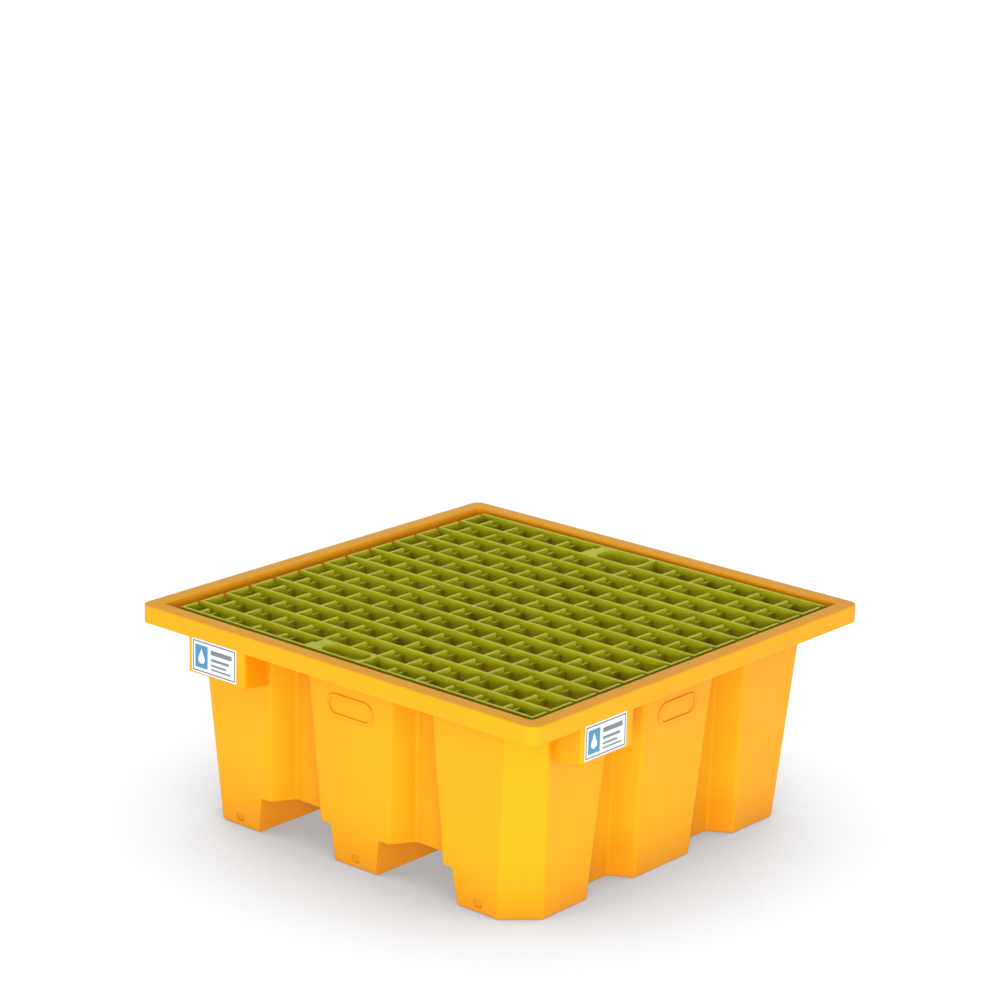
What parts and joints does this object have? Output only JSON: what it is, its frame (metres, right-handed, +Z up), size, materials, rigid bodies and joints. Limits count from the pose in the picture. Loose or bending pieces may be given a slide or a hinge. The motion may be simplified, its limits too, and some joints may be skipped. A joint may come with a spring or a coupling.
{
  "type": "spill containment pallet",
  "caption": "Square moulded plastic sump pallet for drums: fluted tapering tub with a turned-down rim, fork tunnels underneath, label pads and a lift-out open grating deck.",
  "frame": {"origin": "centre of the tub's square footprint, on the surface it stands on", "axes": "+Z up; the two fork pockets run along Y, so forks enter from -Y (the front) or +Y; X across them"},
  "size_m": [1.265, 1.265, 0.55],
  "materials": {
    "tub_polyethylene": "warm yellow moulded polyethylene, satin, faintly pebbled",
    "grating_polyethylene": "greenish yellow moulded polyethylene, matt, lightly soiled",
    "post_polyethylene": "yellow moulded polyethylene, matt",
    "printed_label": null
  },
  "bodies": {
    "tub": {"sump_tub": "tub_polyethylene", "support_post_1": "post_polyethylene", "support_post_2": "post_polyethylene", "support_post_3": "post_polyethylene", "label_front": "printed_label", "label_right": "printed_label", "label_rear": "printed_label", "label_left": "printed_label"},
    "grating": {"grating": "grating_polyethylene"}
  },
  "joints": [
    {"name": "grating_lift", "type": "slide", "parent": "tub", "child": "grating", "axis": [0, 0, 1], "range_m": [0, 0.3]}
  ]
}
